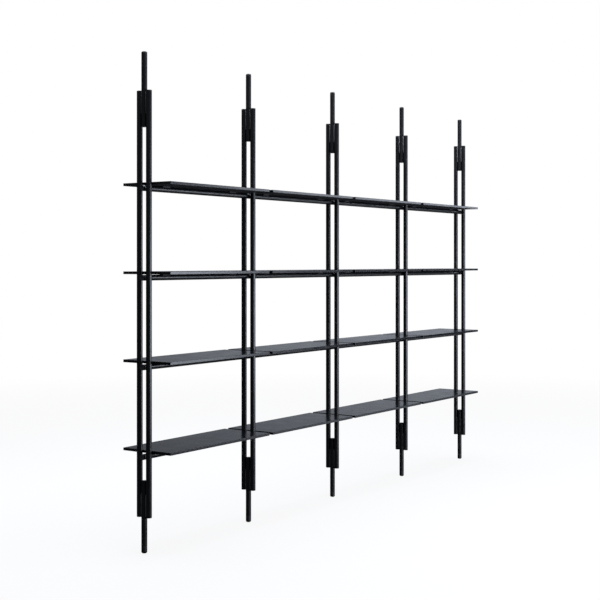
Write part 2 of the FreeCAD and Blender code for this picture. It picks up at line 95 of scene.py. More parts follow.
def linear(hex_colour):
    """An sRGB hex colour as linear RGBA."""
    channels = [int(hex_colour[start:start + 2], 16) / 255 for start in (1, 3, 5)]
    curve = [c / 12.92 if c <= 0.04045 else ((c + 0.055) / 1.055) ** 2.4 for c in channels]
    return (*curve, 1.0)


def length_property(name, description, default):
    """A length that a user would change, in metres."""
    return bpy.props.FloatProperty(
        name=name, description=description, default=default, unit="LENGTH", precision=4)


def number_property(name, description, default):
    """A plain number that a user would change."""
    return bpy.props.FloatProperty(name=name, description=description, default=default)


def vector_property(name, description, default, **kind):
    """Several numbers that belong together."""
    return bpy.props.FloatVectorProperty(
        name=name, description=description, default=default, size=len(default), **kind)


def colour_property(name, description, hex_colour):
    """A finish colour that a user would change."""
    return vector_property(name, description, linear(hex_colour), subtype="COLOR", min=0, max=1)


class BookcaseSizes(bpy.types.PropertyGroup):
    """Sizes of the finished pieces."""

    tube_diameter: length_property("Tube diameter", "Outside of the posts and rails", 32 * MM)
    tube_wall: length_property("Tube wall", "Wall of the posts and rails", 2 * MM)
    rod_diameter: length_property("Rod diameter", "Outside of the telescopic rods", 32 * MM)
    rod_wall: length_property("Rod wall", "Wall of the telescopic rods", 2.5 * MM)
    post_spacing: length_property("Post spacing", "Front post axis to rear post axis", 66 * MM)
    tube_edge: length_property("Tube edge", "Rounding at a cut tube end", 0.5 * MM)
    shelf_edge: length_property("Shelf edge", "Rounding along a shelf's edges", 1.0 * MM)
    bolt_diameter: length_property("Bolt diameter", "Shank of the cross bolts", 8 * MM)
    bolt_head: length_property("Bolt head", "Diameter of a bolt's barrel head", 14 * MM)
    bolt_play: length_property("Bolt play", "Room round a bolt in its hole", 0.3 * MM)
    bolt_inset: length_property("Bolt inset", "Post's end to the nearest bolt", 27 * MM)
    clamp_pitch: length_property("Clamp pitch", "Distance between the two bolts of a clamp", 70 * MM)
    thread_pitch: length_property("Thread pitch", "Rise of the foot's thread in one turn", 2 * MM)
    seam: length_property("Seam", "Step between a plug and its tube", 0.25 * MM)


class BookcaseFinishes(bpy.types.PropertyGroup):
    """Colours of the finished pieces."""

    tube_paint: colour_property("Tube paint", "Powder coat on posts and rails", "#0c0d10")
    rod_paint: colour_property("Rod paint", "Powder coat on the rods", "#08090b")
    shelf_lacquer: colour_property("Shelf lacquer", "Lacquer on the shelves", "#0e1014")
    plug_plastic: colour_property("Plug plastic", "Moulded plugs in the tube ends", "#38383a")
    # The spacers' light grey is partly their own colour and partly a painted highlight: it puts light lines
    # into the crevices between the rods and the posts.
    spacer_plastic: colour_property("Spacer plastic", "Moulded spacers between the tubes", "#8c8c8e")
    saddle_plastic: colour_property("Saddle plastic", "Moulded shelf saddles", "#0b0b0c")
    pad_rubber: colour_property("Pad rubber", "Ceiling pads", "#191919")
    foot_nylon: colour_property("Foot nylon", "Levelling feet", "#1a1a1b")
    bolt_steel: colour_property("Bolt steel", "Blackened bolts, inserts and collars", "#242427")


class BookcaseStage(bpy.types.PropertyGroup):
    """Camera and light of the plain stage."""

    lens: number_property("Lens", "Focal length in millimetres on a 36 mm frame", 71.095)
    heading: bpy.props.FloatProperty(
        name="Heading", description="Camera's turn about Z", default=math.radians(-55.46), subtype="ANGLE")
    shift: number_property("Shift", "Upright shift of the frame", -0.0634)
    eye: vector_property("Eye", "Camera position", (-6.6379, -4.3058, 1.5667), subtype="TRANSLATION")
    front_power: number_property("Front light", "Watts of the wide front light", 255.0)
    high_power: number_property("High light", "Watts of the strip high on the right", 100.0)
    top_power: number_property("Top light", "Watts of the soft light overhead", 420.0)
    daylight: colour_property("Daylight", "Faintly cool tint of the lights and the room", "#eaf1ff")
    floor: colour_property("Floor", "Plain pale floor", "#f4f4f4")
    # The bounce inside the patch paints a pool of light into the floor's colour, which only rays other than
    # the eye's see.
    bounce: vector_property(
        "Bounce", "Share of the light that the floor throws back, inside and outside its lit patch",
        (0.9, 0.07))
    patch: vector_property(
        "Patch", "Middle of the floor's lit patch", (4.2, -3.2, 0.0), subtype="TRANSLATION")


def skin(rings, loop=False):
    """Quads between neighbouring closed outlines of an (m, n, 3) array.

    A face closes the first and the last outline, unless the outlines loop back to the first.
    """
    rings = np.asarray(rings, float)
    rows, count = rings.shape[:2]
    index = np.arange(rows * count).reshape(rows, count)
    if loop:
        index = np.vstack([index, index[:1]])
    after = np.roll(index, -1, axis=1)
    quads = np.stack([index[:-1], after[:-1], after[1:], index[1:]], axis=-1).reshape(-1, 4).tolist()
    if not loop:
        quads += [index[0][::-1].tolist(), index[-1].tolist()]
    return rings.reshape(-1, 3), quads


def revolve(profile, loop=False, steps=ROUND_STEPS):
    """A profile of (radius, height) carried round Z: (r cos a, r sin a, z)."""
    angle = np.linspace(0, 2 * math.pi, steps, endpoint=False)
    radius, height = np.asarray(profile, float).T[:, :, None]
    flat = np.zeros_like(angle)
    return skin(np.stack([radius * np.cos(angle), radius * np.sin(angle), height + flat], axis=-1), loop)


def corner(across, up, edge, start, steps=EDGE_STEPS):
    """A quarter round of an outline: centre + edge (cos a, sin a), with a over 90 degrees from start.

    A short lead along the tangent at both ends keeps the long flat faces beside it flat in the light.
    """
    angle = np.linspace(start, start + math.pi / 2, steps)
    arc = np.stack([across + edge * np.cos(angle), up + edge * np.sin(angle)], axis=-1)
    tangent = np.stack([-np.sin(angle), np.cos(angle)], axis=-1)
    return np.vstack([arc[:1] - LEAD * tangent[:1], arc, arc[-1:] + LEAD * tangent[-1:]])


def stretch(radius, levels):
    """Points of a profile at one radius, one at each level."""
    return np.column_stack([np.full(len(levels), radius), levels])


def wall_profile(outer, inner, low, high, edge, levels):
    """A round wall's profile: up the outside from a rounded low edge, over the rim and down the bore."""
    return np.vstack([
        corner(outer - edge, low + edge, edge, -math.pi / 2), stretch(outer, levels),
        corner(outer - edge, high - edge, edge, 0),
        corner(inner + edge, high - edge, edge, math.pi / 2), stretch(inner, levels[::-1])])


def tube(outer, wall, low, high, edge, levels=()):
    """A closed ring section carried round Z, with rounded rims and an extra ring at each level."""
    inner = outer - wall
    low_rim = corner(inner + edge, low + edge, edge, math.pi)
    return revolve(np.vstack([wall_profile(outer, inner, low, high, edge, levels), low_rim]), loop=True)


def cup(outer, wall, low, high, floor, edge, levels=()):
    """A tube closed at its lower end: the bore stops a floor's thickness above the low face."""
    inner = outer - wall
    return revolve(np.vstack([wall_profile(outer, inner, low, high, edge, levels), [[inner, low + floor]]]))


def moved(part, offset=(0, 0, 0), turn=None):
    """A part turned about the origin and then moved."""
    points, faces = part
    if turn is not None:
        points = points @ turn.T
    return points + np.asarray(offset, float), faces


def join(parts):
    """Several parts as one list of points and faces."""
    starts = np.cumsum([0] + [len(points) for points, _ in parts])
    faces = [[int(start) + corner_index for corner_index in face]
             for start, (_, part_faces) in zip(starts, parts) for face in part_faces]
    return np.vstack([points for points, _ in parts]), faces


def smooth(mesh):
    """Shades a mesh smooth and keeps its hard edges sharp."""
    mesh.polygons.foreach_set("use_smooth", np.ones(len(mesh.polygons), bool))
    mesh.set_sharp_from_angle(angle=SHARP_ANGLE)


def make_mesh(name, parts):
    """One smooth-shaded mesh of several parts."""
    points, faces = join(parts)
    mesh = bpy.data.meshes.new(name)
    mesh.from_pydata(points.tolist(), [], faces)
    smooth(mesh)
    mesh.update()
    return mesh


def new_piece(name, parts, look, body, *nodes):
    """One finished piece that stands for CAD nodes, rides on their body and takes a look's material."""
    piece = bpy.data.objects.new(name, make_mesh(name, parts))
    bpy.context.scene.collection.objects.link(piece)
    piece.data.materials.append(finish(look))
    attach(piece, body)
    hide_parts(*nodes)
    return piece


def bored(piece, cutters):
    """Takes closed cutter parts out of a piece for good."""
    tool = bpy.data.objects.new(piece.name + "_cutter", make_mesh(piece.name + "_cutter", cutters))
    bpy.context.scene.collection.objects.link(tool)
    cut = piece.modifiers.new("cut", "BOOLEAN")
    cut.object = tool
    cut.operation = "DIFFERENCE"
    cut.solver = "EXACT"
    bpy.context.view_layer.update()
    shape = bpy.data.meshes.new_from_object(piece.evaluated_get(bpy.context.evaluated_depsgraph_get()))
    piece.modifiers.remove(cut)
    piece.data = shape
    smooth(shape)
    bpy.data.objects.remove(tool)


def axis_of(node):
    """The middle of a CAD node in X and Y, and its lowest and highest Z."""
    low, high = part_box(node)
    return (low.x + high.x) / 2, (low.y + high.y) / 2, low.z, high.z


def sizes():
    """The sizes that the user set."""
    return bpy.context.scene.bookcase_sizes


def rail_heights():
    """Height of each rail's axis."""
    boxes = [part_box("rail_{}".format(level)) for level in LEVELS]
    return [(low.z + high.z) / 2 for low, high in boxes]


def clamp_middles(number):
    """Heights of the middles of an upright's lower and upper clamp."""
    size = sizes()
    _, _, low, high = axis_of("rear_post_{}".format(number))
    offset = size.bolt_inset + size.clamp_pitch / 2
    return [low + offset, high - offset]


def bolt_heights(number):
    """Heights of every cross bolt of an upright."""
    half = sizes().clamp_pitch / 2
    return [middle + step for middle in clamp_middles(number) for step in (-half, half)] + rail_heights()


def empty_tree(owner):
    """The node tree of a material or a world, emptied."""
    owner.use_nodes = True
    owner.node_tree.nodes.clear()
    return owner.node_tree


def add(tree, kind, inputs=None, **options):
    """Adds a node, sets its options, and gives each input a value or the link from another node's output."""
    node = tree.nodes.new(kind)
    for name, value in options.items():
        setattr(node, name, value)
    for key, value in (inputs or {}).items():
        if isinstance(value, bpy.types.NodeSocket):
            tree.links.new(value, node.inputs[key])
        else:
            node.inputs[key].default_value = value
    return node


def reckon(tree, operation, first, second):
    """The output of a Math node on two values."""
    return add(tree, "ShaderNodeMath", {0: first, 1: second}, operation=operation).outputs[0]


def ramp(tree, value, span, ends):
    """A value mapped from a span to the values at its two ends, and held there beyond them."""
    node = add(tree, "ShaderNodeMapRange", {
        "Value": value, "From Min": span[0], "From Max": span[1], "To Min": ends[0], "To Max": ends[1]})
    return node.outputs["Result"]


def noise(tree, place, size, detail):
    """Noise whose coarsest features have a size."""
    return add(tree, "ShaderNodeTexNoise", {"Vector": place, "Scale": 1 / size, **detail}).outputs["Fac"]


def surface(name, colour, look):
    """Two tones in soft patches, a roughness that follows them, and a fine relief.

    Undersides have a roughness of their own where the look gives one.
    """
    material = bpy.data.materials.new(name)
    tree = empty_tree(material)
    coordinates = add(tree, "ShaderNodeTexCoord")
    patch = noise(tree, coordinates.outputs["Object"], look["patch"], PATCH_NOISE)
    grain = noise(tree, coordinates.outputs["Object"], look["grain"], GRAIN_NOISE)
    darker, lighter = [(*(channel * share for channel in colour[:3]), 1.0) for share in TONE_SHARES]
    tone = add(
        tree, "ShaderNodeMix", {"Factor": patch, MIX_DARKER: darker, MIX_LIGHTER: lighter}, data_type="RGBA")
    rough = ramp(tree, patch, NOISE_SPAN, (look["rough"] - look["spread"], look["rough"] + look["spread"]))
    if "under" in look:
        normal = add(tree, "ShaderNodeSeparateXYZ", {0: coordinates.outputs["Normal"]})
        rough = ramp(tree, normal.outputs["Z"], UNDERSIDE, (look["under"], rough))
    relief = add(
        tree, "ShaderNodeBump", {"Strength": look["relief"], "Distance": look["depth"], "Height": grain})
    shader = add(tree, "ShaderNodeBsdfPrincipled", {
        "Base Color": tone.outputs[MIX_RESULT], "Roughness": rough, "IOR": look["ior"],
        "Normal": relief.outputs["Normal"]})
    add(tree, "ShaderNodeOutputMaterial", {"Surface": shader.outputs["BSDF"]})
    return material


# Lengths in metres. Powder coat melts to a low orange peel a millimetre or two across, so a highlight on it
# breaks up softly. The board's sprayed lacquer flows out flatter and mirrors more, but its thinly sprayed
# underside stays matt and dark. Moulded plastic and rubber carry a fine spark texture that spreads the
# light. Black oxide keeps a thin oily gloss. The paints' relief is faint and only shows close up.
LOOKS = {
    "tube_paint": ("satin powder coat on steel tube", {
        "patch": 60 * MM, "grain": 1.6 * MM, "depth": 0.06 * MM,
        "rough": 0.32, "spread": 0.03, "relief": 0.012, "ior": 1.5}),
    "rod_paint": ("matt powder coat on steel tube", {
        "patch": 60 * MM, "grain": 1.3 * MM, "depth": 0.07 * MM,
        "rough": 0.4, "spread": 0.04, "relief": 0.025, "ior": 1.5}),
    "shelf_lacquer": ("satin sprayed lacquer on board", {
        "patch": 90 * MM, "grain": 2.4 * MM, "depth": 0.05 * MM,
        "rough": 0.23, "spread": 0.02, "under": 0.7, "relief": 0.012, "ior": 1.5}),
    "plug_plastic": ("spark-textured moulded polypropylene", {
        "patch": 25 * MM, "grain": 0.7 * MM, "depth": 0.06 * MM,
        "rough": 0.5, "spread": 0.05, "relief": 0.3, "ior": 1.49}),
    # This light grey spacer colour also paints highlight lines into the crevices between the tubes.
    "spacer_plastic": ("moulded natural-grey nylon", {
        "patch": 25 * MM, "grain": 0.7 * MM, "depth": 0.06 * MM,
        "rough": 0.5, "spread": 0.05, "relief": 0.2, "ior": 1.53}),
    "saddle_plastic": ("matt moulded glass-filled nylon", {
        "patch": 25 * MM, "grain": 0.7 * MM, "depth": 0.06 * MM,
        "rough": 0.62, "spread": 0.05, "relief": 0.3, "ior": 1.45}),
    "pad_rubber": ("moulded rubber", {
        "patch": 20 * MM, "grain": 0.6 * MM, "depth": 0.06 * MM,
        "rough": 0.68, "spread": 0.06, "relief": 0.35, "ior": 1.52}),
    "foot_nylon": ("moulded nylon", {
        "patch": 20 * MM, "grain": 0.6 * MM, "depth": 0.05 * MM,
        "rough": 0.46, "spread": 0.05, "relief": 0.25, "ior": 1.53}),
    "bolt_steel": ("black oxide on steel", {
        "patch": 8 * MM, "grain": 0.4 * MM, "depth": 0.03 * MM,
        "rough": 0.38, "spread": 0.08, "relief": 0.2, "ior": 1.6}),
}


def finish(look):
    """The material of a look, made once."""
    name, values = LOOKS[look]
    known = bpy.data.materials.get(name)
    return known or surface(name, tuple(getattr(bpy.context.scene.bookcase_finishes, look)), values)


class PieceOperator:
    """What every piece's operator shares."""

    bl_options = {"REGISTER", "UNDO"}


class BOOKCASE_OT_posts(PieceOperator, bpy.types.Operator):
    """Build the round front and rear posts, the rear ones bored for the bolt heads."""

    bl_idname = "bookcase.posts"
    bl_label = "Posts"

    def execute(self, context):
        size = sizes()
        radius = size.bolt_head / 2 + size.bolt_play
        beside = radius + size.tube_wall
        hole = revolve([[radius, 0], [radius, size.tube_diameter]], steps=SMALL_STEPS)
        for number in UPRIGHTS:
            for side in SIDES:
                node = "{}_post_{}".format(side, number)
                x, y, low, high = axis_of(node)
                heights = bolt_heights(number) if side == "rear" else []
                levels = sorted(height + step for height in heights for step in (-beside, beside))
                part = tube(size.tube_diameter / 2, size.tube_wall, low, high, size.tube_edge, levels)
                piece = new_piece(node + "_tube", [moved(part, (x, y, 0))], "tube_paint", "frame", node)
                if heights:
                    bored(piece, [moved(hole, (x, y, height), TO_Y) for height in heights])
        return {"FINISHED"}


class BOOKCASE_OT_rails(PieceOperator, bpy.types.Operator):
    """Build the round rails that run the length of the row."""

    bl_idname = "bookcase.rails"
    bl_label = "Rails"

    def execute(self, context):
        size = sizes()
        for level in LEVELS:
            node = "rail_{}".format(level)
            low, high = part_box(node)
            part = tube(size.tube_diameter / 2, size.tube_wall, low.x, high.x, size.tube_edge)
            middle = (0, (low.y + high.y) / 2, (low.z + high.z) / 2)
            new_piece(node + "_tube", [moved(part, middle, TO_X)], "tube_paint", "frame", node)
        return {"FINISHED"}


class BOOKCASE_OT_rods(PieceOperator, bpy.types.Operator):
    """Build the telescopic rods, the upper ones slotted for their clamp bolts."""

    bl_idname = "bookcase.rods"
    bl_label = "Rods"

    end_floor: length_property("End wall", "Thickness of the closed inner end", 4 * MM)
    slot_width: length_property("Slot width", "Width of the clamp slot", 8.6 * MM)
    slot_low: length_property(
        "Slot start", "Height of the slot's lower centre above the rod's inner end", 37 * MM)
    slot_span: length_property("Slot length", "Distance between the slot's end centres", 150 * MM)
    slot_end_steps = 24

    def slot_cutter(self, x, y, start, reach):
        """A cutter along Y: two half circles of the slot's width with straight sides between them."""
        half = np.linspace(0, math.pi, self.slot_end_steps)
        angle = np.concatenate([half, half + math.pi])
        centre = np.repeat([start + self.slot_span, start], self.slot_end_steps)
        across = self.slot_width / 2 * np.cos(angle) + x
        up = self.slot_width / 2 * np.sin(angle) + centre
        return skin([
            np.column_stack([across, np.full(len(angle), depth), up]) for depth in (y + reach, y - reach)])

    def execute(self, context):
        size = sizes()
        outer = size.rod_diameter / 2
        beside = self.slot_width / 2 + size.rod_wall
        for number in UPRIGHTS:
            node = "top_rod_{}".format(number)
            body = "upper_rod_{}".format(number)
            x, y, low, high = axis_of(node)
            start = low + self.slot_low
            levels = [start - beside, start + self.slot_span + beside]
            part = cup(outer, size.rod_wall, low, high, self.end_floor, size.tube_edge, levels)
            piece = new_piece(node + "_tube", [moved(part, (x, y, 0))], "rod_paint", body, node)
            bored(piece, [self.slot_cutter(x, y, start, 2 * outer)])

            node = "bottom_rod_{}".format(number)
            x, y, low, high = axis_of(node)
            part = cup(outer, size.rod_wall, -high, -low, self.end_floor, size.tube_edge)
            new_piece(node + "_tube", [moved(part, (x, y, 0), FLIP_Z)], "rod_paint", "frame", node)
        return {"FINISHED"}


class BOOKCASE_OT_shelves(PieceOperator, bpy.types.Operator):
    """Build the shelf boards with eased edges and corners."""

    bl_idname = "bookcase.shelves"
    bl_label = "Shelves"

    corner_radius: length_property("Corner", "Rounding of a shelf's corners in plan", 1.6 * MM)

    def slab(self, low, high, edge):
        """A board with every edge rounded.

        Its plan has four quarter rounds and grows at each height by the outset of a profile of two.
        """
        radius = self.corner_radius
        left, right, front, back = low.x + radius, high.x - radius, low.y + radius, high.y - radius
        turns = np.arange(4) * math.pi / 2
        centres = list(zip((right, left, left, right), (back, back, front, front), turns))
        profile = np.vstack([
            corner(-edge, low.z + edge, edge, -math.pi / 2), corner(-edge, high.z - edge, edge, 0)])
        rings = []
        for outset, height in profile:
            plan = np.vstack([corner(x, y, radius + outset, turn) for x, y, turn in centres])
            rings.append(np.column_stack([plan, np.full(len(plan), height)]))
        return skin(rings)

    def execute(self, context):
        edge = sizes().shelf_edge
        for level in LEVELS:
            for bay in BAYS:
                node = "shelf_{}_{}".format(level, bay)
                low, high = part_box(node)
                new_piece(node + "_board", [self.slab(low, high, edge)], "shelf_lacquer", "frame", node)
        return {"FINISHED"}


class BOOKCASE_OT_plugs(PieceOperator, bpy.types.Operator):
    """Build the plugs that close the posts and the rails."""

    bl_idname = "bookcase.plugs"
    bl_label = "Tube plugs"

    head: length_property("Head", "Thickness of a plug's head", 3 * MM)
    edge: length_property("Edge", "Rounding of a plug's rim", 1 * MM)
    depth: length_property("Depth", "Length of a plug's spigot", 10 * MM)
    dish: vector_property("Dish", "Dish's floor and rim as shares of the head's radius", (0.55, 0.6))

    def plug(self, size):
        """A plug carried round Z from its dished head up to its spigot's end."""
        outer = size.tube_diameter / 2 - size.seam
        spigot = size.tube_diameter / 2 - size.tube_wall - size.seam
        return revolve(np.vstack([
            [[outer * self.dish[0], -self.head + size.seam], [outer * self.dish[1], -self.head]],
            corner(outer - self.edge, -self.head + self.edge, self.edge, -math.pi / 2),
            [[outer, -size.seam], [outer - size.seam, 0], [spigot, 0], [spigot, self.depth]]]))

    def execute(self, context):
        plug = self.plug(sizes())
        parts = []
        for number in UPRIGHTS:
            for side in SIDES:
                x, y, low, high = axis_of("{}_post_{}".format(side, number))
                parts += [moved(plug, (x, y, low)), moved(plug, (x, y, high), FLIP_Z)]
        for level in LEVELS:
            low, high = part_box("rail_{}".format(level))
            y, z = (low.y + high.y) / 2, (low.z + high.z) / 2
            parts += [moved(plug, (low.x, y, z), TO_X), moved(plug, (high.x, y, z), TO_X @ FLIP_Z)]
        new_piece("tube_plug_set", parts, "plug_plastic", "frame", "tube_plugs")
        return {"FINISHED"}


class BOOKCASE_OT_bolts(PieceOperator, bpy.types.Operator):
    """Build the cross bolts, whose long barrel heads sit sunk in the rear posts, and finish their inserts."""

    bl_idname = "bookcase.bolts"
    bl_label = "Cross bolts"

    socket: length_property("Socket", "Width across the flats of the key socket", 6 * MM)
    socket_depth: length_property("Socket depth", "Depth of the key socket", 5 * MM)
    chamfer: length_property("Chamfer", "Chamfer round the head and the socket", 0.6 * MM)
    steps = 48

    def bolt(self, reach, crown, end):
        """Rings along Y: shank, underside, barrel and hexagon socket.

        The underside lies on the post's inner wall at s - sqrt(R2 - x2). The socket's radius is half the
        width across the flats, divided by the cosine of the angle to the nearest flat's middle.
        """
        size = sizes()
        angle = np.linspace(0, 2 * math.pi, self.steps, endpoint=False)
        bore = size.tube_diameter / 2 - size.tube_wall - size.seam
        shank, head = size.bolt_diameter / 2, size.bolt_head / 2
        hexagon = self.socket / 2 / np.cos((angle + math.pi / 6) % (math.pi / 3) - math.pi / 6)
        rows = [
            (shank - self.chamfer, -reach), (shank, self.chamfer - reach),
            (shank, crown - np.sqrt(bore ** 2 - (shank * np.sin(angle)) ** 2)),
            (head, crown - np.sqrt(bore ** 2 - (head * np.sin(angle)) ** 2)),
            (head, end - self.chamfer), (head - self.chamfer, end),
            (hexagon + self.chamfer, end), (hexagon, end - self.chamfer), (hexagon, end - self.socket_depth)]
        rings = [
            [radius * np.sin(angle), depth + 0 * angle, radius * np.cos(angle)] for radius, depth in rows]
        return skin(np.array(rings).transpose(0, 2, 1))

    def execute(self, context):
        low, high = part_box("cross_bolts")
        bolt = self.bolt(-low.y, sizes().post_spacing / 2, high.y)
        parts = []
        for number in UPRIGHTS:
            x = axis_of("rear_post_{}".format(number))[0]
            parts += [moved(bolt, (x, 0, height)) for height in bolt_heights(number)]
        new_piece("cross_bolt_set", parts, "bolt_steel", "frame", "cross_bolts")
        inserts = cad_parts["thread_inserts"].data.materials
        inserts.clear()
        inserts.append(finish("bolt_steel"))
        return {"FINISHED"}


class BOOKCASE_OT_spacers(PieceOperator, bpy.types.Operator):
    """Build the rod guides and rail saddles between the round tubes."""

    bl_idname = "bookcase.spacers"
    bl_label = "Saddle spacers"

    guide_width: length_property("Guide width", "Width of a rod guide", 14 * MM)
    guide_length: length_property("Guide length", "Height of a rod guide", 118 * MM)
    guide_end: number_property("Guide end", "Share of a guide's length that each end's chamfer takes", 0.006)
    guide_shrink: number_property("Guide shrink", "Share of a guide's section that is left at its ends", 0.93)
    saddle: length_property("Saddle", "Diameter of a rail saddle", 20 * MM)
    clearance: length_property("Clearance", "Gap to a sliding rod", 0.3 * MM)
    snug: length_property("Snug", "Gap to a fixed tube", 0.1 * MM)
    guide_steps, saddle_rings = 15, 8

    def guide(self, size):
        """A strip along Z between two circles: y from sqrt(r2 - x2) to s - sqrt(R2 - x2)."""
        across = np.linspace(-1, 1, self.guide_steps) * self.guide_width / 2
        rod = np.sqrt((size.rod_diameter / 2 + self.clearance) ** 2 - across ** 2)
        post = size.post_spacing / 2 - np.sqrt((size.tube_diameter / 2 + self.snug) ** 2 - across ** 2)
        outline = np.concatenate([np.stack([across, rod], axis=-1), np.stack([across, post], axis=-1)[::-1]])
        middle = outline.mean(axis=0)
        inner = 0.5 - self.guide_end
        levels = [(-0.5, self.guide_shrink), (-inner, 1.0), (inner, 1.0), (0.5, self.guide_shrink)]
        rings = []
        for level, shrink in levels:
            height = np.full(len(outline), level * self.guide_length)
            rings.append(np.column_stack([middle + (outline - middle) * shrink, height]))
        return skin(rings)

    def rail_saddle(self, size):
        """A washer between a rail along X and a post along Z: y from sqrt(R2 - z2) to s - sqrt(R2 - x2)."""
        angle = np.linspace(0, 2 * math.pi, SMALL_STEPS, endpoint=False)
        hole = size.bolt_diameter / 2 + self.clearance
        spread = np.linspace(hole, self.saddle / 2, self.saddle_rings)[:, None]
        x, z = spread * np.cos(angle), spread * np.sin(angle)
        radius = size.tube_diameter / 2 + self.snug
        rail = np.stack([x, np.sqrt(radius ** 2 - z ** 2), z], axis=-1)
        post = np.stack([x, size.post_spacing / 2 - np.sqrt(radius ** 2 - x ** 2), z], axis=-1)
        return skin(np.concatenate([rail, post[::-1]])[::-1], loop=True)

    def execute(self, context):
        size = sizes()
        guide, saddle = self.guide(size), self.rail_saddle(size)
        parts = []
        for number in UPRIGHTS:
            x = axis_of("rear_post_{}".format(number))[0]
            for turn in (None, HALF_TURN):
                parts += [moved(guide, (x, 0, height), turn) for height in clamp_middles(number)]
                parts += [moved(saddle, (x, 0, height), turn) for height in rail_heights()]
        # Their light grey finish partly paints highlight lines into the crevices between the tubes.
        new_piece("saddle_spacer_set", parts, "spacer_plastic", "frame", "saddle_spacers")
        return {"FINISHED"}


class BOOKCASE_OT_cradles(PieceOperator, bpy.types.Operator):
    """Build the cradles that carry the shelves on the rails."""

    bl_idname = "bookcase.cradles"
    bl_label = "Shelf saddles"

    width: length_property("Width", "Depth of a cradle across the rail", 24 * MM)
    length: length_property("Length", "Length of a cradle along the rail", 60 * MM)
    inset: length_property("Inset", "Cradle's middle to the shelf's end", 150 * MM)
    ease: length_property("Ease", "Chamfer along a cradle's upper edges", 0.8 * MM)
    snug: length_property("Snug", "Gap to the rail", 0.1 * MM)
    arch_steps = 21

    def cradle(self, radius, top):
        """A block along X, from a hollow at z = sqrt(R2 - y2) up to a flat top with eased edges."""
        across = np.linspace(-1, 1, self.arch_steps) * self.width / 2
        arch = np.sqrt(radius ** 2 - across ** 2)
        eased = np.array([[self.width / 2, top - self.ease], [self.width / 2 - self.ease, top]])
        outline = np.vstack([np.stack([across, arch], axis=-1), eased, eased[::-1] * (-1, 1)])
        ends = (-self.length / 2, self.length / 2)
        return skin([np.column_stack([np.full(len(outline), end), outline]) for end in ends])

    def execute(self, context):
        radius = sizes().tube_diameter / 2 + self.snug
        parts = []
        for level, axis in zip(LEVELS, rail_heights()):
            for bay in BAYS:
                low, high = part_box("shelf_{}_{}".format(level, bay))
                cradle = self.cradle(radius, low.z - axis)
                parts += [moved(cradle, (x, 0, axis)) for x in (low.x + self.inset, high.x - self.inset)]
        new_piece("shelf_saddle_set", parts, "saddle_plastic", "frame", "shelf_saddles")
        return {"FINISHED"}


